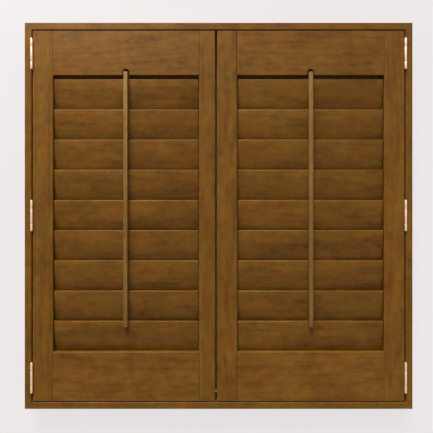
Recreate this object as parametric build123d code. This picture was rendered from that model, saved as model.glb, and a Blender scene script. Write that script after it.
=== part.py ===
from build123d import *
import os
from math import atan2, cos, radians, sin, sqrt, tan

# A pair of louvred wooden shutter panels, hinged in an L-section frame. Millimetres and degrees.
# X runs along the wall to the right, Y runs from the room into the wall, Z is up.
# The origin is the centre of the frame's back, in the plane of the wall.

# Frame bars
FRAME_WIDTH = 974.0
FRAME_HEIGHT = 970.0
FRAME_DEPTH = 50.8
FRAME_FACE = 17.0
LIGHT_STOP_REACH = 14.0
FRAME_EASE = 0.8
WALL_SCREW_RISE = 600.0
WALL_SCREW_HOLE_RADIUS = 2.5
WALL_SCREW_HEAD_RADIUS = 4.6
WALL_SCREW_SINK = 2.6

# Bow-tie keys across the back of the frame's mitres
KEY_LENGTH = 14.0
KEY_END_WIDTH = 8.0
KEY_WAIST_WIDTH = 4.5
KEY_DEPTH = 12.0

# Panel members
PANEL_THICKNESS = 28.6
PANEL_END_GAP = 3.0
MEETING_GAP = 5.0
MEETING_GAP_OFFSET = -6.35
HINGE_STILE_WIDTH = 50.8
LEFT_MEETING_STILE_WIDTH = 40.6
RIGHT_MEETING_STILE_WIDTH = 50.8
TOP_RAIL_HEIGHT = 111.4
BOTTOM_RAIL_LEAST_HEIGHT = 90.0
PANEL_EASE = 0.8
BEAD_WIDTH = 8.4
BEAD_DEPTH = 2.0
QUIRK_WIDTH = 0.8
QUIRK_DEPTH = 0.6
TENON_LENGTH = 22.0
TENON_THICKNESS = 9.5
TENON_SHOULDER = 14.0

# Louvers: oval blades that turn on end pins, drawn nearly closed with the room-side edge up
LOUVER_WIDTH = 89.0
LOUVER_THICKNESS = 11.0
LOUVER_NOSE_RADIUS = 2.4
LOUVER_PITCH = 76.2
LOUVER_TILT = 10.0
LOUVER_END_GAP = 1.6
LOUVER_RAIL_REVEAL = 8.1
LOUVER_LIP_LAP = 11.0
LOUVER_LIP_CLEARANCE = 0.6
PIN_BORE_RADIUS = 3.0
PIN_RUNNING_CLEARANCE = 0.05
PIN_ENGAGEMENT = 11.0
PIN_END_CLEARANCE = 1.0
NOSE_CHORDS = 4

# Tilt rods and the linked staples that tie them to the louvers
ROD_WIDTH = 10.5
ROD_DEPTH = 11.0
ROD_CORNER = 2.0
ROD_TOP_OVERHANG = 12.5
ROD_FOOT_OVERHANG = 17.0
ROD_STANDOFF = 2.6
STAPLE_WIRE = 1.0
STAPLE_SPAN = 7.0
STAPLE_REACH = 3.4
STAPLE_BITE = 9.0
STAPLE_LOOP_CLEARANCE = 0.25
ROD_STAPLE_BITE = 7.0
NOTCH_SIDE_ROOM = 3.4
NOTCH_HEADROOM = 8.5
NOTCH_BACK_ROOM = 8.0

# Hinges: pinned three-knuckle barrels in front of the gap, flat leaves in the gap
HINGE_HEIGHT = 76.2
HINGE_INSET = 59.0
HINGE_END_KNUCKLE = 19.0
HINGE_KNUCKLE_GAP = 0.3
HINGE_BARREL_RADIUS = 3.1
HINGE_BARREL_CLEARANCE = 0.4
HINGE_LEAF_THICKNESS = 1.2
HINGE_LEAF_CLEARANCE = 0.6
HINGE_LEAF_DEPTH = 24.0
HINGE_PIN_RADIUS = 1.5
HINGE_PIN_CLEARANCE = 0.05
HINGE_PIN_HEAD_RADIUS = 2.4
HINGE_PIN_HEAD_HEIGHT = 1.6

# Magnet catches under the head's light stop, and the plates that they hold
CATCH_LENGTH = 46.0
CATCH_HEIGHT = 12.0
CATCH_SETBACK = 6.0
CATCH_CORNER = 3.0
CATCH_FROM_MEETING_EDGE = 60.0
STRIKE_LENGTH = 40.0
STRIKE_HEIGHT = 9.0
STRIKE_THICKNESS = 1.2
MAGNET_AIR_GAP = 0.8

# Flats along the pins, and sides of their bores and of the hinge barrels and heads, to keep the faces few
PIN_FLATS = 3
PIN_FLAT_SHARE = 0.67
BORE_SIDES = 6
BARREL_SIDES = 12

# How far a cut runs past the face that it opens
OVERRUN = 5.0

LEFT = -1
RIGHT = 1
SIDES = (LEFT, RIGHT)

# Frame planes, worked out from the sizes above
stop_clearance = STRIKE_THICKNESS + MAGNET_AIR_GAP
stop_thickness = FRAME_DEPTH - PANEL_THICKNESS - stop_clearance
frame_section = FRAME_FACE + LIGHT_STOP_REACH
panel_front = -FRAME_DEPTH
panel_back = panel_front + PANEL_THICKNESS
panel_middle = panel_front + PANEL_THICKNESS / 2

# Panel edges, as distances from the middle; the left-hand panel is built as a right-hand one and mirrored
hinge_gap = 2 * HINGE_LEAF_THICKNESS + HINGE_LEAF_CLEARANCE
jamb_inside = FRAME_WIDTH / 2 - FRAME_FACE
hinge_edge = jamb_inside - hinge_gap
panel_top = FRAME_HEIGHT / 2 - FRAME_FACE - PANEL_END_GAP
panel_bottom = -panel_top
meeting_stile_width = {LEFT: LEFT_MEETING_STILE_WIDTH, RIGHT: RIGHT_MEETING_STILE_WIDTH}
meeting_edge = {side: MEETING_GAP / 2 + side * MEETING_GAP_OFFSET for side in SIDES}
opening_outer = hinge_edge - HINGE_STILE_WIDTH
opening_inner = {side: meeting_edge[side] + meeting_stile_width[side] for side in SIDES}
rod_centre = {side: (opening_outer + opening_inner[side]) / 2 for side in SIDES}

# Louver places, from the top rail down; the bottom rail takes what is left over
louver_half = LOUVER_WIDTH / 2
rail_to_pivot = louver_half + LOUVER_RAIL_REVEAL
lip_to_pivot = louver_half - LOUVER_LIP_LAP
top_pivot = panel_top - TOP_RAIL_HEIGHT - rail_to_pivot
louver_room = top_pivot - lip_to_pivot - BOTTOM_RAIL_LEAST_HEIGHT - panel_bottom
louver_count = int(louver_room / LOUVER_PITCH) + 1
pivots = [top_pivot - i * LOUVER_PITCH for i in range(louver_count)]
top_rail_edge = top_pivot + rail_to_pivot
bottom_rail_edge = pivots[-1] - lip_to_pivot
bottom_rail_floor = pivots[-1] - rail_to_pivot
tilt = radians(LOUVER_TILT)
lip_offset = LOUVER_THICKNESS / 2 / cos(tilt) - lip_to_pivot * tan(tilt) + LOUVER_LIP_CLEARANCE

# Staple line: the axis on which a louver's staple turns in the rod's staple
staple_radius = louver_half + STAPLE_REACH
staple_plane = panel_middle - staple_radius * sin(tilt)
staple_rise = staple_radius * cos(tilt)
rod_back = staple_plane - ROD_STANDOFF
rod_front = rod_back - ROD_DEPTH
rod_top = pivots[0] + staple_rise + ROD_TOP_OVERHANG
rod_bottom = pivots[-1] + staple_rise - ROD_FOOT_OVERHANG

# Hinge axis and heights
hinge_axis_x = hinge_edge + hinge_gap / 2
hinge_axis_y = panel_front - HINGE_BARREL_RADIUS - HINGE_BARREL_CLEARANCE
hinge_heights = [panel_top - HINGE_INSET, 0, panel_bottom + HINGE_INSET]


def block(x_range, y_range, z_range):
    """A box between two values on each axis."""
    low, high = zip(x_range, y_range, z_range)
    size = [b - a for a, b in zip(low, high)]
    return Pos(*low) * Box(*size, align=(Align.MIN, Align.MIN, Align.MIN))


def along_x(outline, start, end):
    """Extrudes an outline drawn in (y, z) from one x to another."""
    return extrude(Plane.YZ.offset(start) * outline, amount=end - start, dir=(1, 0, 0))


def along_y(outline, front, back):
    """Extrudes an outline drawn in (x, z) from one y to another."""
    return extrude(Plane.XZ.offset(-front) * outline, amount=back - front, dir=(0, 1, 0))


def along_z(outline, bottom, top):
    """Extrudes an outline drawn in (x, y) from one z to another."""
    return extrude(Plane.XY.offset(bottom) * outline, amount=top - bottom, dir=(0, 0, 1))


def corners_at(outline, points):
    """The corners of an outline that lie at the given points."""
    return [outline.vertices().sort_by_distance(point)[0] for point in points]


def eased(outline, points, size):
    """Takes the sharpness off the named corners of an outline with a small flat."""
    return chamfer(corners_at(outline, points), size)


def rounded(outline, points, radius):
    """Rounds the named corners of an outline."""
    return fillet(corners_at(outline, points), radius)


def outline_of(points):
    """A flat face with straight sides."""
    return make_face(Polyline(*points, close=True))


def pin_outline(radius):
    """A round pin with flats ground along it."""
    return Circle(radius) & RegularPolygon(PIN_FLAT_SHARE * radius, PIN_FLATS, major_radius=False)


def bore_outline(radius):
    """A flat-sided hole that clears a pin of the given radius."""
    return RegularPolygon(radius, BORE_SIDES, major_radius=False)


def for_side(side, shape):
    """Puts a shape that was built for the right-hand panel on its own side."""
    return shape if side == RIGHT else mirror(shape, about=Plane.YZ)


def corner_key(side, end):
    """A bow-tie key across one mitre, flush with the frame's back."""
    half_length = KEY_LENGTH / 2
    half_end = KEY_END_WIDTH / 2
    half_waist = KEY_WAIST_WIDTH / 2
    bow_tie = outline_of(
        [
            (-half_length, -half_end),
            (0, -half_waist),
            (half_length, -half_end),
            (half_length, half_end),
            (0, half_waist),
            (-half_length, half_end),
        ]
    )
    x = side * (FRAME_WIDTH - frame_section) / 2
    z = end * (FRAME_HEIGHT - frame_section) / 2
    return Pos(x, 0, z) * Rot(Y=45 * side * end) * along_y(bow_tie, -KEY_DEPTH, 0)


def frame_bar(length, outer):
    """A mitred L-section bar that runs along X, with its outer face at the given height."""
    face_inner = outer - FRAME_FACE
    stop_inner = outer - frame_section
    front_corners = [(-FRAME_DEPTH, outer), (-FRAME_DEPTH, face_inner), (-stop_thickness, stop_inner)]
    section = outline_of(
        [
            (0, outer),
            front_corners[0],
            front_corners[1],
            (-stop_thickness, face_inner),
            front_corners[2],
            (0, stop_inner),
        ]
    )
    bar = along_x(eased(section, front_corners, FRAME_EASE), -length / 2, length / 2)
    inner_half = length / 2 - frame_section
    mitred = outline_of(
        [(-length / 2, outer), (length / 2, outer), (inner_half, stop_inner), (-inner_half, stop_inner)]
    )
    return bar & along_y(mitred, -FRAME_DEPTH, 0)


def wall_screw_hole(x, z):
    """A countersunk hole through a jamb's light stop."""
    hole = Pos(x, -stop_thickness / 2, z) * Rot(X=90) * Cylinder(WALL_SCREW_HOLE_RADIUS, stop_thickness)
    sink = Cone(WALL_SCREW_HOLE_RADIUS, WALL_SCREW_HEAD_RADIUS, WALL_SCREW_SINK)
    return hole + Pos(x, WALL_SCREW_SINK / 2 - stop_thickness, z) * Rot(X=90) * sink


def frame_pieces():
    """The four bars, with the key pockets and wall-screw holes cut, and the keys."""
    keys = [corner_key(side, end) for side in SIDES for end in SIDES]
    across = frame_bar(FRAME_WIDTH, FRAME_HEIGHT / 2)
    upright = frame_bar(FRAME_HEIGHT, FRAME_WIDTH / 2)
    screw_x = jamb_inside - LIGHT_STOP_REACH / 2
    jambs = {}
    for side in SIDES:
        jambs[side] = Rot(Y=90 * side) * upright
        for z in (-WALL_SCREW_RISE / 2, WALL_SCREW_RISE / 2):
            jambs[side] -= wall_screw_hole(side * screw_x, z)
    bars = {
        "frame_head": across,
        "frame_sill": Rot(Y=180) * across,
        "frame_left_jamb": jambs[LEFT],
        "frame_right_jamb": jambs[RIGHT],
    }
    pieces = {name: bar - keys for name, bar in bars.items()}
    pieces["frame_corner_keys"] = keys
    return pieces


def stile_outline(outer, inward, width):
    """A stile seen from above: eased outer corners, and a quirk and bead along the louver edge."""
    inner = outer + inward * width
    bead = inner - inward * BEAD_WIDTH
    quirk = bead - inward * QUIRK_WIDTH
    quirk_floor = panel_front + QUIRK_DEPTH
    bead_foot = panel_front + BEAD_DEPTH
    crown_share = sqrt(QUIRK_DEPTH) / (sqrt(QUIRK_DEPTH) + sqrt(BEAD_DEPTH))
    crown = bead + inward * crown_share * BEAD_WIDTH
    outer_corners = [(outer, panel_back), (outer, panel_front)]
    edges = Polyline(
        (inner, bead_foot),
        (inner, panel_back),
        outer_corners[0],
        outer_corners[1],
        (quirk, panel_front),
        (bead, quirk_floor),
    )
    edges += ThreePointArc((bead, quirk_floor), (crown, panel_front), (inner, bead_foot))
    return eased(make_face(edges), outer_corners, PANEL_EASE)


def tenons(x, inward, bottom, top):
    """The tenon at one end of a rail; the same block is the stile's mortise."""
    thickness = (panel_middle - TENON_THICKNESS / 2, panel_middle + TENON_THICKNESS / 2)
    span = sorted((x, x - inward * TENON_LENGTH))
    return block(span, thickness, (bottom + TENON_SHOULDER, top - TENON_SHOULDER))


def pin_bore(x, outward, z):
    """A blind bore in a stile for a louver's end pin."""
    depth = PIN_ENGAGEMENT + PIN_END_CLEARANCE
    ends = sorted((x, x + outward * depth))
    return Pos(0, panel_middle, z) * along_x(bore_outline(PIN_BORE_RADIUS), *ends)


def stile(outer, inward, width):
    """An upright panel member with its pin bores and mortises."""
    inner = outer + inward * width
    shape = along_z(stile_outline(outer, inward, width), panel_bottom, panel_top)
    shape -= [pin_bore(inner, -inward, z) for z in pivots]
    shape -= tenons(inner, inward, top_rail_edge, panel_top)
    return shape - tenons(inner, inward, panel_bottom, bottom_rail_floor)


def rod_notch(centre):
    """The arched notch in the top rail that takes the tilt rod's upper end."""
    half_width = ROD_WIDTH / 2 + NOTCH_SIDE_ROOM
    crown = rod_top + NOTCH_HEADROOM
    spring = crown - half_width
    foot = min(spring, top_rail_edge) - OVERRUN
    edges = Polyline(
        (centre - half_width, spring),
        (centre - half_width, foot),
        (centre + half_width, foot),
        (centre + half_width, spring),
    )
    edges += ThreePointArc((centre + half_width, spring), (centre, crown), (centre - half_width, spring))
    return along_y(make_face(edges), panel_front - OVERRUN, rod_back + NOTCH_BACK_ROOM)


def top_rail(side):
    """The rail over the louvers: a lip comes down behind the first one."""
    lip_face = panel_middle + lip_offset
    lip_edge = top_pivot + lip_to_pivot
    front_corner = (panel_front, top_rail_edge)
    section = outline_of(
        [
            front_corner,
            (panel_front, panel_top),
            (panel_back, panel_top),
            (panel_back, lip_edge),
            (lip_face, lip_edge),
            (lip_face, top_rail_edge),
        ]
    )
    inner = opening_inner[side]
    rail = along_x(eased(section, [front_corner], PANEL_EASE), inner, opening_outer)
    rail -= rod_notch(rod_centre[side])
    rail += tenons(inner, 1, top_rail_edge, panel_top)
    return rail + tenons(opening_outer, -1, top_rail_edge, panel_top)


def bottom_rail(side):
    """The rail under the louvers: a lip stands up in front of the last one."""
    lip_face = panel_middle - lip_offset
    front_corner = (panel_front, bottom_rail_edge)
    section = outline_of(
        [
            (panel_front, panel_bottom),
            front_corner,
            (lip_face, bottom_rail_edge),
            (lip_face, bottom_rail_floor),
            (panel_back, bottom_rail_floor),
            (panel_back, panel_bottom),
        ]
    )
    inner = opening_inner[side]
    rail = along_x(eased(section, [front_corner], PANEL_EASE), inner, opening_outer)
    rail += tenons(inner, 1, panel_bottom, bottom_rail_floor)
    return rail + tenons(opening_outer, -1, panel_bottom, bottom_rail_floor)


def upright_staple():
    """A louver's staple while its louver stands upright with the pivot at the origin."""
    foot = louver_half - STAPLE_BITE
    half_span = STAPLE_SPAN / 2
    half_wire = STAPLE_WIRE / 2
    depth = (-half_wire, half_wire)
    outside = block((-half_span, half_span), depth, (foot, staple_radius + half_wire))
    hollow_half = half_span - STAPLE_WIRE
    hollow = block((-hollow_half, hollow_half), depth, (foot, staple_radius - half_wire))
    return outside - hollow


def louver_outline():
    """A blade's section: two shallow arcs that run into noses of a few chords each."""
    half_thickness = LOUVER_THICKNESS / 2
    nose = LOUVER_NOSE_RADIUS
    nose_centre = louver_half - nose
    face_radius = (nose_centre**2 + half_thickness**2 - nose**2) / (2 * (half_thickness - nose))
    join_y = (face_radius - half_thickness) * nose / (face_radius - nose)
    join_z = nose_centre * face_radius / (face_radius - nose)
    half_turn = atan2(join_y, join_z - nose_centre)
    turns = [half_turn * (2 * i / NOSE_CHORDS - 1) for i in range(NOSE_CHORDS + 1)]
    upper = [(nose * sin(turn), nose_centre + nose * cos(turn)) for turn in turns]
    lower = [(-y, -z) for y, z in upper]
    edges = ThreePointArc(lower[-1], (-half_thickness, 0), upper[0])
    edges += Polyline(*upper)
    edges += ThreePointArc(upper[-1], (half_thickness, 0), lower[0])
    edges += Polyline(*lower)
    return make_face(edges)


def upright_louver(side):
    """A louver with its end pins, upright, with the pivot at the origin and the staple's seat cut."""
    half_opening = (opening_outer - opening_inner[side]) / 2
    half_length = half_opening - LOUVER_END_GAP
    half_pin = half_opening + PIN_ENGAGEMENT
    blade = along_x(louver_outline(), -half_length, half_length)
    pin_section = pin_outline(PIN_BORE_RADIUS - PIN_RUNNING_CLEARANCE)
    blade += along_x(pin_section, -half_pin, -half_length)
    blade += along_x(pin_section, half_length, half_pin)
    return blade - upright_staple()


def tilt_rod(centre):
    """The upright rod in front of the louvers, with its staples' seats cut."""
    left = centre - ROD_WIDTH / 2
    right = centre + ROD_WIDTH / 2
    front_corners = [(left, rod_front), (right, rod_front)]
    section = outline_of([*front_corners, (right, rod_back), (left, rod_back)])
    rod = along_z(rounded(section, front_corners, ROD_CORNER), rod_bottom, rod_top)
    return rod - [rod_staple(centre, z) for z in pivots]


def rod_staple(centre, pivot):
    """A staple in the rod's back, looped round the crosspiece of the staple of one louver."""
    loop_half = STAPLE_WIRE / sqrt(2) + STAPLE_LOOP_CLEARANCE
    half_wire = STAPLE_WIRE / 2
    width = (centre - half_wire, centre + half_wire)
    foot = rod_back - ROD_STAPLE_BITE
    z = pivot + staple_rise
    outer_half = loop_half + STAPLE_WIRE
    outside = block(width, (foot, staple_plane + outer_half), (z - outer_half, z + outer_half))
    hollow = block(width, (foot, staple_plane + loop_half), (z - loop_half, z + loop_half))
    return outside - hollow


def knuckle(bottom, top, leaf_x):
    """One knuckle of a hinge, with the neck that joins it to its leaf."""
    axis = Pos(hinge_axis_x, hinge_axis_y)
    flat_behind = 180 / BARREL_SIDES
    barrel_outline = RegularPolygon(HINGE_BARREL_RADIUS, BARREL_SIDES, rotation=flat_behind)
    barrel = axis * along_z(barrel_outline, bottom, top)
    neck = block(leaf_x, (hinge_axis_y, panel_front), (bottom, top))
    bore = along_z(bore_outline(HINGE_PIN_RADIUS + HINGE_PIN_CLEARANCE), bottom, top)
    return barrel + neck - axis * bore


def hinge_leaf(leaf_x, z):
    """The flat of a hinge leaf, in the gap between jamb and panel."""
    half = HINGE_HEIGHT / 2
    return block(leaf_x, (panel_front, panel_front + HINGE_LEAF_DEPTH), (z - half, z + half))


def frame_hinge_leaf(z):
    """The jamb's leaf, with the two end knuckles."""
    leaf_x = (jamb_inside - HINGE_LEAF_THICKNESS, jamb_inside)
    half = HINGE_HEIGHT / 2
    upper = knuckle(z + half - HINGE_END_KNUCKLE, z + half, leaf_x)
    lower = knuckle(z - half, z - half + HINGE_END_KNUCKLE, leaf_x)
    return hinge_leaf(leaf_x, z) + upper + lower


def panel_hinge_leaf(z):
    """The stile's leaf, with the middle knuckle."""
    leaf_x = (hinge_edge, hinge_edge + HINGE_LEAF_THICKNESS)
    half = HINGE_HEIGHT / 2 - HINGE_END_KNUCKLE - HINGE_KNUCKLE_GAP
    return hinge_leaf(leaf_x, z) + knuckle(z - half, z + half, leaf_x)


def hinge_pin(z):
    """A headed pin through all three knuckles."""
    half = HINGE_HEIGHT / 2
    shank = along_z(pin_outline(HINGE_PIN_RADIUS), -half, half)
    head_outline = RegularPolygon(HINGE_PIN_HEAD_RADIUS, BARREL_SIDES)
    head = along_z(head_outline, half, half + HINGE_PIN_HEAD_HEIGHT)
    return Pos(hinge_axis_x, hinge_axis_y, z) * (shank + head)


def magnet_catch(side):
    """A magnet catch that hangs from the head's light stop, level with its front."""
    x = meeting_edge[side] + CATCH_FROM_MEETING_EDGE
    ceiling = FRAME_HEIGHT / 2 - frame_section
    outline = Pos(x, ceiling - CATCH_HEIGHT / 2) * Rectangle(CATCH_LENGTH, CATCH_HEIGHT)
    lower = outline.vertices().sort_by(Axis.Y)[:2]
    return along_y(fillet(lower, CATCH_CORNER), -stop_thickness, -CATCH_SETBACK)


def strike_plate(side):
    """The steel plate on the top rail's back that faces the catch."""
    x = meeting_edge[side] + CATCH_FROM_MEETING_EDGE
    z = FRAME_HEIGHT / 2 - frame_section - CATCH_HEIGHT / 2
    half_length = STRIKE_LENGTH / 2
    half_height = STRIKE_HEIGHT / 2
    return block(
        (x - half_length, x + half_length),
        (panel_back, panel_back + STRIKE_THICKNESS),
        (z - half_height, z + half_height),
    )


def panel_pieces(side, name):
    """The nodes that belong to one panel, its louvers and its tilt rod."""

    def place(shape):
        return for_side(side, shape)

    width = meeting_stile_width[side]
    centre = rod_centre[side]
    pieces = {
        f"{name}_hinge_stile": place(stile(hinge_edge, -1, HINGE_STILE_WIDTH)),
        f"{name}_meeting_stile": place(stile(meeting_edge[side], 1, width)),
        f"{name}_top_rail": place(top_rail(side)),
        f"{name}_bottom_rail": place(bottom_rail(side)),
        f"{name}_panel_hinge_leaves": [place(panel_hinge_leaf(z)) for z in hinge_heights],
        f"{name}_strike_plate": place(strike_plate(side)),
        f"{name}_tilt_rod": place(tilt_rod(centre)),
        f"{name}_rod_staples": [place(rod_staple(centre, z)) for z in pivots],
    }
    louver = upright_louver(side)
    staple = upright_staple()
    for number, z in enumerate(pivots, 1):
        seat = Pos(side * centre, panel_middle, z) * Rot(X=LOUVER_TILT)
        pieces[f"{name}_louver_{number}"] = seat * louver
        pieces[f"{name}_louver_{number}_staple"] = seat * staple
    return pieces


def shared_hardware():
    """The hinge leaves, pins and catches that stay with the frame, on both sides."""
    return {
        "frame_hinge_leaves": [for_side(s, frame_hinge_leaf(z)) for s in SIDES for z in hinge_heights],
        "hinge_pins": [for_side(s, hinge_pin(z)) for s in SIDES for z in hinge_heights],
        "magnet_catches": [for_side(s, magnet_catch(s)) for s in SIDES],
    }


nodes = frame_pieces()
nodes |= shared_hardware()
nodes |= panel_pieces(LEFT, "left")
nodes |= panel_pieces(RIGHT, "right")

os.makedirs("parts", exist_ok=True)
for node_name, shape in nodes.items():
    solids = shape if isinstance(shape, list) else [shape]
    export_step(Compound(children=[s for one in solids for s in one.solids()]), f"parts/{node_name}.step")
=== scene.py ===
"""Dresses a pair of louvred shutter panels in their frame: stained woodwork, hinges, linkage and stage."""
from math import asin, pi, radians, tau

import bmesh
import bpy
from bpy.props import FloatProperty, FloatVectorProperty, PointerProperty
from mathutils import Matrix, Vector


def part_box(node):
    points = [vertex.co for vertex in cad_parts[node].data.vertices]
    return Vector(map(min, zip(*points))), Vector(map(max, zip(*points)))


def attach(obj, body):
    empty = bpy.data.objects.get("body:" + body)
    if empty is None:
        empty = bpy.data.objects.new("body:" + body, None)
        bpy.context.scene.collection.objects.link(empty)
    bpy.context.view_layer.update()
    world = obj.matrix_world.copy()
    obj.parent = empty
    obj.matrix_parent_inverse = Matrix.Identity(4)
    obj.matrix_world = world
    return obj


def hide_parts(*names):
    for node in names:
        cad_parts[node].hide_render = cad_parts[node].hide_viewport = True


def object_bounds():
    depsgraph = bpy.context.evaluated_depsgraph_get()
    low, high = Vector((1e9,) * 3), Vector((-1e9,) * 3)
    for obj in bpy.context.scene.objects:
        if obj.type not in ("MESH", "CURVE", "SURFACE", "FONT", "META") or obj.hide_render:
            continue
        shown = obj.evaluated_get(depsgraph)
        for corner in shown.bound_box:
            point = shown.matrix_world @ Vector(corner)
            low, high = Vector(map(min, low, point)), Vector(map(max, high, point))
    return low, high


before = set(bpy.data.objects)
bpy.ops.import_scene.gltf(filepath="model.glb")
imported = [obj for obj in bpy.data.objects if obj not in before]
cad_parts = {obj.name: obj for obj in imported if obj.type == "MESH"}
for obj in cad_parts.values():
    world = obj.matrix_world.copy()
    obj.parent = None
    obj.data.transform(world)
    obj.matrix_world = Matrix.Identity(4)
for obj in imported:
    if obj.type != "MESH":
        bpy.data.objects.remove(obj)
cad_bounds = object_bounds()

bl_info = {
    "name": "Louvred Shutter",
    "version": (1, 0, 0),
    "blender": (4, 5, 0),
    "location": "View3D > Sidebar > Shutter",
    "description": "Builds the visible pieces of a louvred wooden shutter and a plain stage for it",
    "category": "Object",
}

# What the frame says
SIDES = ("left", "right")
LOUVER_COUNT = sum(name.startswith("left_louver_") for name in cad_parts) // 2
UPRIGHT_BOARDS = ["frame_left_jamb", "frame_right_jamb"]
UPRIGHT_BOARDS += [f"{side}_{stile}" for side in SIDES for stile in ("hinge_stile", "meeting_stile")]
LEVEL_BOARDS = ["frame_head", "frame_sill"]
LEVEL_BOARDS += [f"{side}_{rail}" for side in SIDES for rail in ("top_rail", "bottom_rail")]

# The photograph's frame, in pixels, and where the object's centre lies in it
PHOTO_SIZE = 433
PHOTO_CENTRE_X = 218.6
PHOTO_CENTRE_Y = 215.85

# When points count as one, a corner as sharp, and an edge or a normal as lying along an axis
MERGE_DISTANCE = 1e-7
SHARP_CORNER = radians(38)
EDGE_COSINE = 0.99
NORMAL_COSINE = 0.9

# What both shader node groups put out
FINISH_SOCKETS = {"Colour": "Color", "Roughness": "Float", "Height": "Float"}


# Kinds of value that a user may change
def length(name, description, default):
    """A size in metres."""
    return FloatProperty(
        name=name, description=description, default=default, min=0, unit="LENGTH", precision=5
    )


def angle(name, description, degrees):
    """An angle."""
    return FloatProperty(
        name=name, description=description, default=radians(degrees), subtype="ANGLE", unit="ROTATION"
    )


def power(name, description, default):
    """A lamp's power in watts."""
    return FloatProperty(name=name, description=description, default=default, min=0, unit="POWER")


def point(name, description, default):
    """A point of the shared frame, in metres."""
    return FloatVectorProperty(
        name=name, description=description, default=default, size=3, subtype="TRANSLATION", unit="LENGTH"
    )


def colour(name, description, default):
    """A linear colour."""
    return FloatVectorProperty(
        name=name, description=description, default=default, size=3, min=0, max=1, subtype="COLOR"
    )


class ShutterSizes(bpy.types.PropertyGroup):
    """Sizes of the pieces that are modelled here."""

    louver_width: length("Louver width", "Blade from nose to nose", 0.089)
    louver_thickness: length("Louver thickness", "Blade at its middle", 0.011)
    louver_nose: length("Louver nose", "Radius of a blade's long edges", 0.0024)
    louver_end_ease: length("Louver end ease", "Sanded edge round a blade's sawn ends", 0.0006)
    louver_tilt: angle("Louver tilt", "Lean of a nearly closed blade", 10)
    pin_length: length("Pin length", "End pin from the blade's end to its tip", 0.0126)
    pin_radius: length("Pin radius", "End pin in its bore", 0.00295)
    pin_tip_ease: length("Pin tip ease", "Chamfer round an end pin's tip", 0.00059)
    collar_radius: length("Collar radius", "Shoulder of an end pin", 0.0052)
    collar_thickness: length("Collar thickness", "Shoulder of an end pin", 0.0011)
    rod_front_ease: length("Rod front ease", "Rounded front edges of a tilt rod", 0.002)
    rod_end_ease: length("Rod end ease", "Sanded edges round a tilt rod's ends", 0.0009)
    staple_wire: length("Staple wire", "Thickness of the wire", 0.001)
    staple_span: length("Staple span", "Louver staple over both legs", 0.007)
    staple_reach: length("Staple reach", "Middle of the crosspiece from the blade's nose", 0.0034)
    staple_bite: length("Staple bite", "Legs in the blade", 0.009)
    staple_bend: length("Staple bend", "Radius of the wire's bends, at its middle", 0.0009)
    hinge_height: length("Hinge height", "Over all three knuckles", 0.0762)
    end_knuckle: length("End knuckle", "Height of the upper and lower knuckles", 0.019)
    knuckle_gap: length("Knuckle gap", "Slit between two knuckles", 0.0007)
    barrel_radius: length("Barrel radius", "Outside of the knuckles", 0.0031)
    barrel_bore: length("Barrel bore", "Radius of the hole for the pin", 0.00155)
    barrel_ease: length("Barrel ease", "Rounding of a knuckle's ends", 0.001)
    leaf_thickness: length("Leaf thickness", "Hinge leaf", 0.0012)
    leaf_depth: length("Leaf depth", "Hinge leaf behind the panel's front", 0.024)
    leaf_corner: length("Leaf corner", "Rounding of a leaf's free corners", 0.004)
    pin_head_radius: length("Pin head radius", "Head of a hinge pin", 0.0024)
    pin_head_height: length("Pin head height", "Head of a hinge pin", 0.0016)
    hinge_pin_radius: length("Hinge pin radius", "Shank of a hinge pin", 0.0015)
    screw_radius: length("Screw radius", "Flat screw head", 0.0031)
    screw_proud: length("Screw proud", "Screw head above its plate", 0.00015)
    screw_depth: length("Screw depth", "Countersunk part of a screw head", 0.0009)
    screw_recess: length("Screw recess", "Depth of the cross in a screw head", 0.0006)
    screw_arm: length("Screw arm", "Cross from its middle to its tips", 0.001705)
    screw_slot: length("Screw slot", "Width of the cross's arms", 0.000806)
    screw_turn: angle("Screw turn", "Crosses of a leaf's upper and lower screws", 57.63)
    outer_screw_depth: length("Outer screws", "Upper and lower screws behind a leaf's front", 0.00864)
    middle_screw_depth: length("Middle screw", "Middle screw behind a leaf's front", 0.01536)
    outer_screw_rise: length("Outer screw rise", "Upper and lower screws from a leaf's middle", 0.025146)
    catch_length: length("Catch length", "Magnet catch along the head", 0.046)
    catch_corner: length("Catch corner", "Lower corners of a catch", 0.003)
    catch_ease: length("Catch ease", "Moulded edges of a catch", 0.0004)
    pole_length: length("Pole length", "Steel pole plate of a catch", 0.03)
    pole_thickness: length("Pole thickness", "Steel pole plate of a catch", 0.0014)
    pole_spacing: length("Pole spacing", "Between a catch's two pole plates", 0.0044)
    pole_proud: length("Pole proud", "Pole plate in front of its catch", 0.0002)
    strike_corner: length("Strike corner", "Corners of a strike plate", 0.0015)
    strike_ease: length("Strike ease", "Edges of strike and pole plates", 0.0002)
    strike_screws: length("Strike screws", "Screws of a strike plate from its middle", 0.012)


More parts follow.
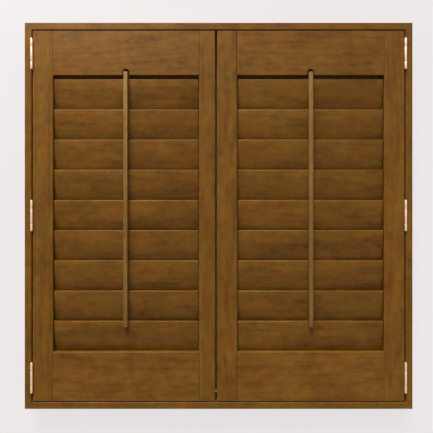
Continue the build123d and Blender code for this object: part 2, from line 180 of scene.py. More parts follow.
class ShutterColours(bpy.types.PropertyGroup):
    """Linear colours of the finishes."""

    wood_light: colour("Light wood", "Stain on early growth", (0.236, 0.107, 0.0101))
    wood_dark: colour("Dark wood", "Stain on late growth", (0.106, 0.0434, 0.0027))
    wood_tint: colour("Warm tint", "What warm patches keep of the stain", (1.0, 0.84, 0.82))
    wood_pore: colour("Pores", "Stain that gathers in the pores", (0.034, 0.012, 0.002))
    # Tilt rods: paler than the other wood, a painted highlight for the light that the proud, rounded rods
    # catch.
    rod_light: colour("Light rod", "Early growth of the tilt rods", (0.3, 0.165, 0.044))
    rod_dark: colour("Dark rod", "Late growth of the tilt rods", (0.165, 0.086, 0.018))
    nickel_light: colour("Light nickel", "Hinges", (0.97, 0.73, 0.5))
    nickel_dark: colour("Dark nickel", "Brush marks on the hinges", (0.88, 0.65, 0.43))
    steel_light: colour("Light steel", "Staples and strike plates", (0.62, 0.61, 0.59))
    steel_dark: colour("Dark steel", "Mottle of the staples and strike plates", (0.36, 0.355, 0.35))
    brown_light: colour("Light brown moulding", "Catches", (0.12, 0.06, 0.028))
    brown_dark: colour("Dark brown moulding", "Catches", (0.08, 0.04, 0.018))
    black_light: colour("Light black moulding", "Corner keys and louver pins", (0.04, 0.04, 0.041))
    black_dark: colour("Dark black moulding", "Corner keys and louver pins", (0.022, 0.022, 0.023))


class ShutterStage(bpy.types.PropertyGroup):
    """Sheets, lights and camera of the stage."""

    paper: colour("Paper", "Wall and floor", (0.87, 0.835, 0.83))
    # Darker than the wall's paper: painted shade for the gaps through the closed panels.
    blind: colour("Blind", "Plain blind behind the panels", (0.24, 0.19, 0.14))
    wall_width: length("Wall width", "Wall, and the floor both ways", 8.0)
    wall_height: length("Wall height", "Wall above the floor", 5.0)
    wall_gap: length("Wall gap", "Wall behind the frame", 0.002)
    floor_drop: length("Floor drop", "Floor below the frame", 1.0)
    blind_gap: length("Blind gap", "Blind in front of the wall", 0.0005)
    blind_inset: length("Blind inset", "Blind inside the frame's outline", 0.01)
    key_place: point("Key place", "Soft light above the left panel", (-0.47, -0.42, 0.92))
    key_aim: point("Key aim", "Point that the key light faces", (-0.35, 0, 0.4))
    key_size: length("Key size", "Width of the key light", 0.5)
    key_power: power("Key power", "Key light", 3.3)
    key_tint: colour("Key tint", "Key light", (1.0, 0.98, 0.95))
    ceiling_direction: FloatVectorProperty(
        name="Ceiling direction",
        description="Way that the ceiling light shines",
        default=(0.15, 0.46, -0.86),
        size=3,
        subtype="XYZ",
    )
    ceiling_softness: angle("Ceiling softness", "Angle that the ceiling light fills", 28.648)
    ceiling_strength: FloatProperty(
        name="Ceiling strength", description="Ceiling light, in watts per square metre", default=3.3, min=0
    )
    ceiling_tint: colour("Ceiling tint", "Ceiling light", (1.0, 0.99, 0.97))
    rear_place: point("Rear place", "Soft light behind the wall", (0.9, 2.3, 1.5))
    rear_aim: point("Rear aim", "Point that the rear light faces", (0, 0, 0))
    rear_size: length("Rear size", "Width of the rear light", 1.8)
    rear_power: power("Rear power", "Rear light", 75)
    rear_tint: colour("Rear tint", "Rear light", (1.0, 1.0, 1.0))
    room_tint: colour("Room tint", "Light from all sides and the background", (1.0, 0.985, 0.99))
    camera_distance: length("Camera distance", "Camera in front of the panels", 1.25)
    pixel: length("Pixel", "A pixel of the photograph at the panels' front", 0.002511)


# Shader nodes
def add_node(tree, kind, inputs=None, **settings):
    """Adds a shader node and its settings. Each input takes a plain value or the socket that feeds it."""
    node = tree.nodes.new(f"ShaderNode{kind}")
    for name, value in settings.items():
        setattr(node, name, value)
    for name, value in (inputs or {}).items():
        if isinstance(value, bpy.types.NodeSocket):
            tree.links.new(value, node.inputs[name])
        else:
            node.inputs[name].default_value = value
    return node


def maths(tree, operation, *values):
    """A Math node's result."""
    return add_node(tree, "Math", dict(enumerate(values)), operation=operation).outputs[0]


def remap(tree, value, old_range, new_range):
    """A value moved from one range to another with soft ends."""
    inputs = {"Value": value}
    inputs["From Min"], inputs["From Max"] = old_range
    inputs["To Min"], inputs["To Max"] = new_range
    return add_node(tree, "MapRange", inputs, interpolation_type="SMOOTHSTEP").outputs["Result"]


def mix_colours(tree, factor, first, second, blend="MIX"):
    """A blend of two colours, whose sockets on a Mix node are those numbered 6, 7 and 2."""
    inputs = {0: factor, 6: first, 7: second}
    return add_node(tree, "Mix", inputs, data_type="RGBA", blend_type=blend).outputs[2]


def stretched_noise(tree, vector, across, along, detail, roughness=0.5):
    """Noise with so many grains to the metre across Z and along it."""
    scaled = add_node(tree, "VectorMath", {0: vector, 1: (across, across, along)}, operation="MULTIPLY")
    inputs = {"Vector": scaled.outputs[0], "Scale": 1.0, "Detail": detail, "Roughness": roughness}
    return add_node(tree, "TexNoise", inputs).outputs["Fac"]


def new_group(name, inputs, outputs):
    """An empty node group with named sockets. Returns it with what it is given and what it puts out."""
    group = bpy.data.node_groups.new(name, "ShaderNodeTree")
    for socket, kind in inputs.items():
        group.interface.new_socket(socket, in_out="INPUT", socket_type=f"NodeSocket{kind}")
    for socket, kind in outputs.items():
        group.interface.new_socket(socket, in_out="OUTPUT", socket_type=f"NodeSocket{kind}")
    entry = group.nodes.new("NodeGroupInput")
    leave = group.nodes.new("NodeGroupOutput")
    return group, entry.outputs, leave.inputs


def grain_group():
    """Stained wood with its fibres along Z: growth figure, streaks, pores, blotches and pin knots."""
    inputs = {"Vector": "Vector", "Board": "Float"}
    inputs |= dict.fromkeys(("Light", "Dark", "Tint", "Pore"), "Color")
    group, given, result = new_group("stained_grain", inputs, FINISH_SOCKETS)

    # Each board comes from its own place in the log
    log_step = (31.0, 17.0, 23.0)
    shift = add_node(group, "VectorMath", {0: log_step, "Scale": given["Board"]}, operation="SCALE")
    moved = {0: given["Vector"], 1: shift.outputs[0]}
    board = add_node(group, "VectorMath", moved, operation="ADD").outputs[0]

    # Growth rings sway, darken slowly and break off
    ring_width = 0.0075
    ring_slope = 0.3
    ring_sway = 0.06
    late_start = 0.45
    late_end = 0.96
    sway = stretched_noise(group, board, across=7.0, along=1.1, detail=2.0)
    axes = add_node(group, "SeparateXYZ", {"Vector": board}).outputs
    depth = maths(group, "MULTIPLY_ADD", axes["X"], ring_slope, axes["Y"])
    ring_place = maths(group, "MULTIPLY_ADD", sway, ring_sway, depth)
    ring_phase = maths(group, "FRACT", maths(group, "DIVIDE", ring_place, ring_width))
    darkening = remap(group, ring_phase, (late_start, late_end), (0.0, 1.0))
    breaking_off = remap(group, ring_phase, (late_end, 1.0), (1.0, 0.0))
    figure = maths(group, "MULTIPLY", darkening, breaking_off)

    # Marks across the rings, from coarse to fine
    blotches = stretched_noise(group, board, across=24.0, along=10.0, detail=3.0)
    warmth = stretched_noise(group, board, across=46.0, along=19.0, detail=3.0, roughness=0.6)
    ripple = stretched_noise(group, board, across=60.0, along=42.0, detail=3.0, roughness=0.6)
    streaks = stretched_noise(group, board, across=160.0, along=2.6, detail=3.0, roughness=0.6)
    flecks = stretched_noise(group, board, across=330.0, along=42.0, detail=3.0, roughness=0.65)
    fibres = stretched_noise(group, board, across=850.0, along=14.0, detail=2.0, roughness=0.6)
    open_grain = stretched_noise(group, board, across=1500.0, along=55.0, detail=1.0)
    pores = remap(group, open_grain, (0.62, 0.72), (0.0, 1.0))

    # A few cells have a pin knot in the middle
    cells_per_metre = (9.0, 9.0, 5.0)
    knot_rim = (0.012, 0.05)
    plain_cells = 0.72
    scaled = add_node(group, "VectorMath", {0: board, 1: cells_per_metre}, operation="MULTIPLY")
    cells = add_node(group, "TexVoronoi", {"Vector": scaled.outputs[0], "Scale": 1.0}).outputs
    chance = add_node(group, "SeparateColor", {"Color": cells["Color"]}).outputs[0]
    core = remap(group, cells["Distance"], knot_rim, (1.0, 0.0))
    knot = maths(group, "MULTIPLY", core, maths(group, "GREATER_THAN", chance, plain_cells))

    # How dark the stain is, from the rings and from each mark about its middle
    plain_tone = 0.39
    figure_weight = 0.18
    noise_middle = 0.5
    weights = ((streaks, 0.55), (fibres, 0.45), (blotches, 1.2), (ripple, 1.15), (flecks, 0.6))
    tone = maths(group, "MULTIPLY_ADD", figure, figure_weight, plain_tone)
    for mark, weight in weights:
        tone = maths(group, "MULTIPLY_ADD", maths(group, "SUBTRACT", mark, noise_middle), weight, tone)

    # The stain, warm in patches and dark where it fills knots and pores
    warm_range = (0.4, 0.64)
    knot_fill = 0.7
    pore_fill = 0.38
    stain = mix_colours(group, tone, given["Light"], given["Dark"])
    patches = remap(group, warmth, warm_range, (0.0, 1.0))
    stain = mix_colours(group, patches, stain, given["Tint"], "MULTIPLY")
    filled = maths(group, "MULTIPLY_ADD", knot, knot_fill, maths(group, "MULTIPLY", pores, pore_fill))
    group.links.new(mix_colours(group, filled, stain, given["Pore"]), result["Colour"])

    # Sheen and relief
    smoothest = 0.4
    roughening = 0.12
    pore_relief = -0.8
    figure_relief = 0.25
    sheen = maths(group, "MULTIPLY_ADD", fibres, roughening, smoothest)
    group.links.new(maths(group, "MULTIPLY_ADD", pores, roughening, sheen), result["Roughness"])
    relief = maths(group, "MULTIPLY_ADD", pores, pore_relief, fibres)
    group.links.new(maths(group, "MULTIPLY_ADD", figure, figure_relief, relief), result["Height"])
    return group


def mottle_group():
    """Two close shades in grains that may be drawn out along Z, for plated metal and moulded plastic."""
    inputs = {"Vector": "Vector", "Grains": "Vector", "Light": "Color", "Dark": "Color"}
    inputs |= {"Smoothest": "Float", "Roughest": "Float"}
    group, given, result = new_group("fine_mottle", inputs, FINISH_SOCKETS)
    clouds_per_metre = 70.0
    cloud_weight = 0.5
    dark_range = (0.5, 1.0)
    scaled = add_node(group, "VectorMath", {0: given["Vector"], 1: given["Grains"]}, operation="MULTIPLY")
    grains = {"Vector": scaled.outputs[0], "Scale": 1.0, "Detail": 4.0, "Roughness": 0.65}
    fine = add_node(group, "TexNoise", grains).outputs["Fac"]
    clouds = {"Vector": given["Vector"], "Scale": clouds_per_metre, "Detail": 2.0}
    cloud = add_node(group, "TexNoise", clouds).outputs["Fac"]
    blend = maths(group, "ADD", fine, maths(group, "MULTIPLY", cloud, cloud_weight))
    mask = remap(group, blend, dark_range, (0.0, 1.0))
    group.links.new(mix_colours(group, mask, given["Light"], given["Dark"]), result["Colour"])
    span = maths(group, "SUBTRACT", given["Roughest"], given["Smoothest"])
    group.links.new(maths(group, "MULTIPLY_ADD", mask, span, given["Smoothest"]), result["Roughness"])
    group.links.new(fine, result["Height"])
    return group


# Finishes
def shared_group(name, build):
    """A node group that is built once."""
    return bpy.data.node_groups.get(name) or build()


def new_material(name):
    """A material with a plain Principled shader. Returns it with its tree and shader."""
    material = bpy.data.materials.new(name)
    material.use_nodes = True
    tree = material.node_tree
    return material, tree, tree.nodes["Principled BSDF"]


def four(rgb):
    """A colour with full alpha."""
    return (*rgb, 1.0)


def apply_effect(tree, shader, effect, bump_distance, bump_strength):
    """Feeds a shader with an effect's colour, roughness and relief."""
    tree.links.new(effect.outputs["Colour"], shader.inputs["Base Color"])
    tree.links.new(effect.outputs["Roughness"], shader.inputs["Roughness"])
    inputs = {"Height": effect.outputs["Height"], "Distance": bump_distance, "Strength": bump_strength}
    tree.links.new(add_node(tree, "Bump", inputs).outputs["Normal"], shader.inputs["Normal"])


def shades(stem):
    """A finish's light and dark colours, as a group's inputs."""
    colours = bpy.context.scene.shutter_colours
    return {"Light": four(getattr(colours, f"{stem}_light")), "Dark": four(getattr(colours, f"{stem}_dark"))}


def stained(name, stem, upright):
    """Stained and lacquered wood with upright or level grain, cut differently for each piece."""
    if name in bpy.data.materials:
        return bpy.data.materials[name]
    colours = bpy.context.scene.shutter_colours
    material, tree, shader = new_material(name)
    place = add_node(tree, "TexCoord").outputs["Object"]
    if not upright:
        place = add_node(tree, "Mapping", {"Vector": place, "Rotation": (0, pi / 2, 0)}).outputs["Vector"]
    inputs = {"Vector": place, "Board": add_node(tree, "ObjectInfo").outputs["Random"]}
    inputs |= shades(stem)
    inputs |= {"Tint": four(colours.wood_tint), "Pore": four(colours.wood_pore)}
    effect = add_node(tree, "Group", inputs, node_tree=shared_group("stained_grain", grain_group))
    apply_effect(tree, shader, effect, bump_distance=0.0003, bump_strength=0.22)
    shader.inputs["Specular IOR Level"].default_value = 0.2
    return material


def upright_wood():
    """Stiles and jambs."""
    return stained("stained_wood_upright", "wood", upright=True)


def level_wood():
    """Rails, head, sill and louvers."""
    return stained("stained_wood_level", "wood", upright=False)


def rod_wood_painted_highlight():
    """Tilt rods: a paler copy of the stain, a painted highlight for the light that the proud, rounded rods
    catch.
    """
    return stained("stained_wood_rod", "rod", upright=True)


def mottled(name, stem, grains, smoothest, roughest, bump_strength, metallic):
    """A plated or moulded finish with so many grains to the metre along each axis."""
    if name in bpy.data.materials:
        return bpy.data.materials[name]
    material, tree, shader = new_material(name)
    inputs = {"Vector": add_node(tree, "TexCoord").outputs["Object"], "Grains": grains}
    inputs |= shades(stem)
    inputs |= {"Smoothest": smoothest, "Roughest": roughest}
    effect = add_node(tree, "Group", inputs, node_tree=shared_group("fine_mottle", mottle_group))
    apply_effect(tree, shader, effect, bump_distance=0.0001, bump_strength=bump_strength)
    shader.inputs["Metallic"].default_value = metallic
    return material


def satin_nickel():
    """Hinges: warm nickel, brushed along the barrel."""
    look = {"grains": (2600, 2600, 90), "smoothest": 0.3, "roughest": 0.46, "bump_strength": 0.1}
    return mottled("nickel_finish", "nickel", **look, metallic=1.0)


def plain_steel():
    """Staples, strike plates and magnet poles: zinc-plated steel."""
    look = {"grains": (900, 900, 900), "smoothest": 0.28, "roughest": 0.48, "bump_strength": 0.12}
    return mottled("zinc_finish", "steel", **look, metallic=1.0)


def brown_moulding():
    """Catch bodies: matte brown plastic."""
    look = {"grains": (1400, 1400, 1400), "smoothest": 0.42, "roughest": 0.6, "bump_strength": 0.3}
    return mottled("brown_moulding", "brown", **look, metallic=0.0)


def black_moulding():
    """Corner keys and louver pins: matte black plastic."""
    look = {"grains": (1400, 1400, 1400), "smoothest": 0.4, "roughest": 0.58, "bump_strength": 0.3}
    return mottled("black_moulding", "black", **look, metallic=0.0)


# Mesh work
def block(bm, low, high):
    """A box between two corners. Returns its vertices."""
    low, high = Vector(low), Vector(high)
    matrix = Matrix.Translation((low + high) / 2) @ Matrix.Diagonal((*(high - low), 1))
    return bmesh.ops.create_cube(bm, size=1, matrix=matrix)["verts"]


def round_edges(bm, edges, radius, segments):
    """Rounds edges with an even bevel."""
    bmesh.ops.bevel(
        bm, geom=edges, offset=radius, segments=segments, profile=0.5, affect="EDGES", material=-1
    )


def edges_of(verts, axis=None):
    """Edges between the given vertices: all of them, or those along one axis."""
    ends = set(verts)
    edges = dict.fromkeys(e for vert in verts for e in vert.link_edges if e.other_vert(vert) in ends)
    if axis is None:
        return list(edges)
    return [e for e in edges if abs((e.verts[0].co - e.verts[1].co).normalized()[axis]) > EDGE_COSINE]


def rims_of(faces):
    """The edges round faces."""
    return [edge for face in faces for edge in face.edges]


def faces_across(bm, axis):
    """Faces square to an axis, on both sides."""
    return [face for face in bm.faces if abs(face.normal[axis]) > NORMAL_COSINE]


def extrude_face(bm, face, step):
    """Extrudes a face by a step. Returns the new vertices."""
    made = bmesh.ops.extrude_face_region(bm, geom=[face])["geom"]
    verts = [item for item in made if isinstance(item, bmesh.types.BMVert)]
    bmesh.ops.translate(bm, vec=step, verts=verts)
    return verts


def turned(bm, profile, steps):
    """A solid of revolution about Z from (radius, height) points, from axis to axis or round a ring."""
    verts = [bm.verts.new((radius, 0, height)) for radius, height in profile]
    edges = [bm.edges.new(pair) for pair in zip(verts, verts[1:])]
    if profile[0][0] > 0:
        edges.append(bm.edges.new((verts[-1], verts[0])))
    bmesh.ops.spin(
        bm, geom=verts + edges, cent=(0, 0, 0), axis=(0, 0, 1), angle=tau, steps=steps, use_merge=True
    )
    bmesh.ops.remove_doubles(bm, verts=bm.verts, dist=MERGE_DISTANCE)


def finished_mesh(bm, name):
    """Drops faces left inside by extrusions, turns the rest outwards and smooths all but sharp corners."""
    inside = [face for face in bm.faces if all(len(edge.link_faces) > 2 for edge in face.edges)]
    bmesh.ops.delete(bm, geom=inside, context="FACES_ONLY")
    bmesh.ops.recalc_face_normals(bm, faces=bm.faces)
    for face in bm.faces:
        face.smooth = True
    mesh = bpy.data.meshes.new(name)
    bm.to_mesh(mesh)
    bm.free()
    mesh.set_sharp_from_angle(angle=SHARP_CORNER)
    return mesh


def placed(mesh, matrix):
    """A copy of a mesh at its own place."""
    copy = mesh.copy()
    copy.transform(matrix)
    return copy


def stamp(bm, mesh, matrix=Matrix()):
    """Adds a copy of a finished mesh to a bmesh."""
    copy = placed(mesh, matrix)
    bm.from_mesh(copy)
    bpy.data.meshes.remove(copy)


def add_piece(name, mesh, body, slot, material, *nodes):
    """Puts a finished mesh in the scene, on its body, in place of its CAD nodes."""
    piece = bpy.data.objects.new(name, mesh)
    bpy.context.scene.collection.objects.link(piece)
    mesh.materials.append(material)
    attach(piece, body)
    if nodes:
        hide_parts(*nodes)


def centre_of(node):
    """The middle of a CAD node's box."""
    low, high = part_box(node)
    return (low + high) / 2


def screw_mesh(sizes):
    """A countersunk screw head with a cross recess, its rim at the origin, facing +Z."""
    arm = sizes.screw_arm
    half_slot = sizes.screw_slot / 2
    taper = (0.6, 0.6, 1)
    bm = bmesh.new()
    cross = []
    for quarter in range(4):
        turn = Matrix.Rotation(quarter * pi / 2, 3, "Z")
        for x, y in ((half_slot, half_slot), (half_slot, arm), (-half_slot, arm)):
            cross.append(bm.verts.new(turn @ Vector((x, y, sizes.screw_proud))))
    recess = bm.faces.new(cross)
    rim = bmesh.ops.create_circle(bm, segments=24, radius=sizes.screw_radius, cap_ends=True)["verts"]
    underside = rim[0].link_faces[0]
    bmesh.ops.bridge_loops(bm, edges=list(recess.edges) + edges_of(rim))
    for face, depth in ((recess, sizes.screw_recess), (underside, sizes.screw_depth)):
        moved = extrude_face(bm, face, (0, 0, -depth))
        bmesh.ops.scale(bm, vec=taper, verts=moved)
    return finished_mesh(bm, "screw")


# Boards
def dress_node(node, material):
    """Gives a CAD node its finish."""
    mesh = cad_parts[node].data
    mesh.materials.clear()
    mesh.materials.append(material)


class SHUTTER_OT_boards(bpy.types.Operator):
    """Stain the frame's bars and the panels' stiles and rails"""

    bl_idname = "shutter.boards"
    bl_label = "Boards"

    def execute(self, context):
        for names, wood in ((UPRIGHT_BOARDS, upright_wood()), (LEVEL_BOARDS, level_wood())):
            for name in names:
                dress_node(name, wood)
        return {"FINISHED"}


class SHUTTER_OT_corner_keys(bpy.types.Operator):
    """Finish the bow-tie keys in the back of the frame's mitres"""

    bl_idname = "shutter.corner_keys"
    bl_label = "Corner Keys"

    def execute(self, context):
        dress_node("frame_corner_keys", black_moulding())
        return {"FINISHED"}


# Louvers and their linkage
def louver_seat(sizes, louver):
    """Where a louver rests, leaning about its pins."""
    return Matrix.Translation(centre_of(louver)) @ Matrix.Rotation(sizes.louver_tilt, 4, "X")


def blade_section(bm, sizes, x):
    """A louver's oval section, upright about the X axis, drawn as two shallow arcs and two noses."""
    half_thickness = sizes.louver_thickness / 2
    nose = sizes.louver_nose
    nose_height = sizes.louver_width / 2 - nose
    face_radius = (nose_height**2 + half_thickness**2 - nose**2) / (2 * (half_thickness - nose))
    face_middle = face_radius - half_thickness
    half_turn = asin(nose_height / (face_radius - nose))
    nose_turn = pi - 2 * half_turn
    face_steps = 14
    nose_steps = 12
    arcs = (
        ((x, face_middle, 0), 2 * half_turn, face_steps),
        ((x, 0, nose_height), nose_turn, nose_steps),
        ((x, -face_middle, 0), 2 * half_turn, face_steps),
        ((x, 0, -nose_height), nose_turn, nose_steps),
    )
    start = Matrix.Rotation(half_turn, 3, "X") @ Vector((0, -face_radius, 0))
    tip = bm.verts.new(start + Vector((x, face_middle, 0)))
    for middle, turn, steps in arcs:
        arc = bmesh.ops.spin(bm, geom=[tip], cent=middle, axis=(1, 0, 0), angle=-turn, steps=steps)
        tip = arc["geom_last"][0]
    bmesh.ops.remove_doubles(bm, verts=bm.verts, dist=MERGE_DISTANCE)
    return bmesh.ops.contextual_create(bm, geom=bm.edges[:])["faces"][0]


def blade_mesh(sizes, blade_length):
    """A louver blade, upright about the origin, with sanded ends."""
    bm = bmesh.new()
    section = blade_section(bm, sizes, -blade_length / 2)
    extrude_face(bm, section, (blade_length, 0, 0))
    ends = [face for face in bm.faces if len(face.verts) > 4]
    round_edges(bm, rims_of(ends), sizes.louver_end_ease, segments=2)
    return finished_mesh(bm, "blade")


def end_pins_mesh(sizes, blade_length):
    """The two end pins of a blade with their collars, about the origin."""
    profile = (
        (0, 0),
        (sizes.collar_radius, 0),
        (sizes.collar_radius, sizes.collar_thickness),
        (sizes.pin_radius, sizes.collar_thickness),
        (sizes.pin_radius, sizes.pin_length - sizes.pin_tip_ease),
        (sizes.pin_radius - sizes.pin_tip_ease, sizes.pin_length),
        (0, sizes.pin_length),
    )
    pin = bmesh.new()
    turned(pin, profile, steps=24)
    one = finished_mesh(pin, "end_pin")
    bm = bmesh.new()
    for end in (-1, 1):
        place = Matrix.Translation((end * blade_length / 2, 0, 0)) @ Matrix.Rotation(end * pi / 2, 4, "Y")
        stamp(bm, one, place)
    return finished_mesh(bm, "end_pins")


class SHUTTER_OT_louvers(bpy.types.Operator):
    """Build the tilting blades and their end pins"""

    bl_idname = "shutter.louvers"
    bl_label = "Louvers"

    def execute(self, context):
        sizes = context.scene.shutter_sizes
        wood = level_wood()
        plastic = black_moulding()
        for side in SIDES:
            low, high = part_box(f"{side}_louver_1")
            blade_length = high.x - low.x - 2 * sizes.pin_length
            blade = blade_mesh(sizes, blade_length)
            pins = end_pins_mesh(sizes, blade_length)
            for number in range(1, LOUVER_COUNT + 1):
                louver = f"{side}_louver_{number}"
                seat = louver_seat(sizes, louver)
                add_piece(f"{louver}_blade", placed(blade, seat), louver, "stained_wood", wood, louver)
                add_piece(f"{louver}_pins", placed(pins, seat), louver, "key_plastic", plastic)
        return {"FINISHED"}


class SHUTTER_OT_tilt_rods(bpy.types.Operator):
    """Build the upright rods that tilt the louvers"""

    bl_idname = "shutter.tilt_rods"
    bl_label = "Tilt Rods"

    def execute(self, context):
        sizes = context.scene.shutter_sizes
        for side in SIDES:
            node = f"{side}_tilt_rod"
            low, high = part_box(node)
            bm = bmesh.new()
            uprights = edges_of(block(bm, low, high), axis=2)
            front = [edge for edge in uprights if edge.verts[0].co.y < (low.y + high.y) / 2]
            round_edges(bm, front, sizes.rod_front_ease, segments=4)
            round_edges(bm, rims_of(faces_across(bm, axis=2)), sizes.rod_end_ease, segments=3)
            # The rods are stained paler than the other wood, as a painted highlight.
            add_piece(f"{node}_dressed", finished_mesh(bm, node), node, "stained_wood", rod_wood_painted_highlight(), node)
        return {"FINISHED"}


def bent_wire_mesh(sizes, span, leg):
    """A staple of round wire: two legs down -Z, and a crosspiece along X through the origin."""
    bend = sizes.staple_bend
    half = (span - sizes.staple_wire) / 2
    bm = bmesh.new()
    start = Matrix.Translation((-half, 0, -leg))
    radius = sizes.staple_wire / 2
    ring = bmesh.ops.create_circle(bm, segments=10, radius=radius, cap_ends=True, matrix=start)["verts"]
    face = ring[0].link_faces[0]
    runs = ((0, 0, leg - bend), (2 * half - 2 * bend, 0, 0), (0, 0, bend - leg))
    corners = ((bend - half, 0, -bend), (half - bend, 0, -bend))
    for run, corner in zip(runs, corners):
        moved = extrude_face(bm, face, run)
        face = next(f for f in moved[0].link_faces if set(f.verts) == set(moved))
        arc = bmesh.ops.spin(bm, geom=[face], cent=corner, axis=(0, 1, 0), angle=pi / 2, steps=5)
        face = next(item for item in arc["geom_last"] if isinstance(item, bmesh.types.BMFace))
    extrude_face(bm, face, runs[2])
    return finished_mesh(bm, "staple")


class SHUTTER_OT_staples(bpy.types.Operator):
    """Build the linked wire staples between the louvers and the tilt rods"""

    bl_idname = "shutter.staples"
    bl_label = "Staples"

    def execute(self, context):
        sizes = context.scene.shutter_sizes
        crossbar = sizes.louver_width / 2 + sizes.staple_reach
        louver_staple = bent_wire_mesh(sizes, sizes.staple_span, sizes.staple_reach + sizes.staple_bite)
        louver_staple.transform(Matrix.Translation((0, 0, crossbar)))
        lie_back = Matrix.Rotation(-pi / 2, 4, "X") @ Matrix.Rotation(pi / 2, 4, "Z")
        steel = plain_steel()
        for side in SIDES:
            heights = []
            for number in range(1, LOUVER_COUNT + 1):
                louver = f"{side}_louver_{number}"
                node = f"{louver}_staple"
                seat = louver_seat(sizes, louver)
                heights.append((seat @ Vector((0, 0, crossbar))).z)
                add_piece(f"{node}_wire", placed(louver_staple, seat), louver, "staple_steel", steel, node)
            node = f"{side}_rod_staples"
            low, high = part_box(node)
            loop_span = 2 * (high.z - heights[0])
            rod_staple = bent_wire_mesh(sizes, loop_span, high.y - low.y - sizes.staple_wire / 2)
            bm = bmesh.new()
            for height in heights:
                place = Vector(((low.x + high.x) / 2, high.y - sizes.staple_wire / 2, height))
                stamp(bm, rod_staple, Matrix.Translation(place) @ lie_back)
            mesh = finished_mesh(bm, "rod_staples")
            add_piece(f"{node}_wire", mesh, f"{side}_tilt_rod", "staple_steel", steel, node)
        return {"FINISHED"}


# Hinges
def knuckle_mesh(sizes, bottom, top):
    """One knuckle of a hinge about the pin's axis, with rounded ends."""
    ease = sizes.barrel_ease
    outside = sizes.barrel_radius
    arc_middle = 0.3 * ease
    profile = (
        (sizes.barrel_bore, bottom),
        (outside - ease, bottom),
        (outside - arc_middle, bottom + arc_middle),
        (outside, bottom + ease),
        (outside, top - ease),
        (outside - arc_middle, top - arc_middle),
        (outside - ease, top),
        (sizes.barrel_bore, top),
    )
    bm = bmesh.new()
    turned(bm, profile, steps=40)
    return finished_mesh(bm, "knuckle")


def leaf_mesh(sizes, leaf_x, front, knuckles, screw, screw_face):
    """A hinge leaf about the pin's axis, with its knuckles and three screws."""
    half = sizes.hinge_height / 2
    bm = bmesh.new()
    plate = block(bm, (leaf_x[0], front, -half), (leaf_x[1], front + sizes.leaf_depth, half))
    free_corners = [e for e in edges_of(plate, axis=0) if e.verts[0].co.y > front + sizes.leaf_depth / 2]
    round_edges(bm, free_corners, sizes.leaf_corner, segments=6)
    neck_inset = sizes.barrel_ease
    for bottom, top in knuckles:
        stamp(bm, knuckle_mesh(sizes, bottom, top))
        block(bm, (leaf_x[0], 0, bottom + neck_inset), (leaf_x[1], front + neck_inset, top - neck_inset))
    face_x = leaf_x[0] if screw_face < 0 else leaf_x[1]
    facing_out = Matrix.Rotation(screw_face * pi / 2, 4, "Y")
    outer_y = front + sizes.outer_screw_depth
    middle_y = front + sizes.middle_screw_depth
    for y, step in ((outer_y, 1), (middle_y, 0), (outer_y, -1)):
        place = Matrix.Translation((face_x, y, step * sizes.outer_screw_rise))
        stamp(bm, screw, place @ facing_out @ Matrix.Rotation(step * sizes.screw_turn, 4, "Z"))
    return finished_mesh(bm, "leaf")


def hinge_pin_mesh(sizes):
    """A hinge pin about its axis, with a domed head given in shares of the head's radius and height."""
    half = sizes.hinge_height / 2
    shank = sizes.hinge_pin_radius
    dome = ((1, 0), (1, 0.45), (0.86, 0.8), (0.5, 0.96), (0, 1))
    profile = [(0, -half), (shank, -half), (shank, half)]
    profile += [(sizes.pin_head_radius * out, half + sizes.pin_head_height * up) for out, up in dome]
    bm = bmesh.new()
    turned(bm, profile, steps=32)
    return finished_mesh(bm, "hinge_pin")


class SHUTTER_OT_hinges(bpy.types.Operator):
    """Build the hinge leaves with their screws, and the pins"""

    bl_idname = "shutter.hinges"
    bl_label = "Hinges"

    def execute(self, context):
        sizes = context.scene.shutter_sizes
        low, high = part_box("hinge_pins")
        half = sizes.hinge_height / 2
        axis_x = high.x - sizes.pin_head_radius
        axis_y = (low.y + high.y) / 2
        heights = (low.z + half, 0, high.z - sizes.pin_head_height - half)
        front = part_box("right_panel_hinge_leaves")[1].y - sizes.leaf_depth - axis_y
        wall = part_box("right_hinge_stile")[1].x - axis_x
        frame_x = (-wall - sizes.leaf_thickness, -wall)
        panel_x = (wall, wall + sizes.leaf_thickness)
        inner_end = half - sizes.end_knuckle
        middle_end = inner_end - sizes.knuckle_gap
        end_knuckles = ((inner_end, half), (-half, -inner_end))
        middle_knuckle = ((-middle_end, middle_end),)
        screw = screw_mesh(sizes)
        frame_leaf = leaf_mesh(sizes, frame_x, front, end_knuckles, screw, screw_face=-1)
        panel_leaf = leaf_mesh(sizes, panel_x, front, middle_knuckle, screw, screw_face=1)
        pin = hinge_pin_mesh(sizes)
        nickel = satin_nickel()
        frame_leaves = bmesh.new()
        pins = bmesh.new()
        for side, sign in zip(SIDES, (-1, 1)):
            panel_leaves = bmesh.new()
            for z in heights:
                place = Matrix.Translation((sign * axis_x, axis_y, z)) @ Matrix.Diagonal((sign, 1, 1, 1))
                stamp(frame_leaves, frame_leaf, place)
                stamp(panel_leaves, panel_leaf, place)
                stamp(pins, pin, place)
            node = f"{side}_panel_hinge_leaves"
            mesh = finished_mesh(panel_leaves, node)
            add_piece(f"{node}_screwed", mesh, f"{side}_panel", "satin_nickel", nickel, node)
        on_frame = (("frame_hinge_leaves", "screwed", frame_leaves), ("hinge_pins", "headed", pins))
        for node, look, bm in on_frame:
            add_piece(f"{node}_{look}", finished_mesh(bm, node), "frame", "satin_nickel", nickel, node)
        return {"FINISHED"}


# Catches
def catch_body_mesh(sizes, low, high):
    """A catch's moulded body, with rounded lower corners."""
    bm = bmesh.new()
    across = edges_of(block(bm, low, high), axis=1)
    lower = [edge for edge in across if edge.verts[0].co.z < (low.z + high.z) / 2]
    round_edges(bm, lower, sizes.catch_corner, segments=5)
    round_edges(bm, rims_of(faces_across(bm, axis=1)), sizes.catch_ease, segments=2)
    return finished_mesh(bm, "catch_body")


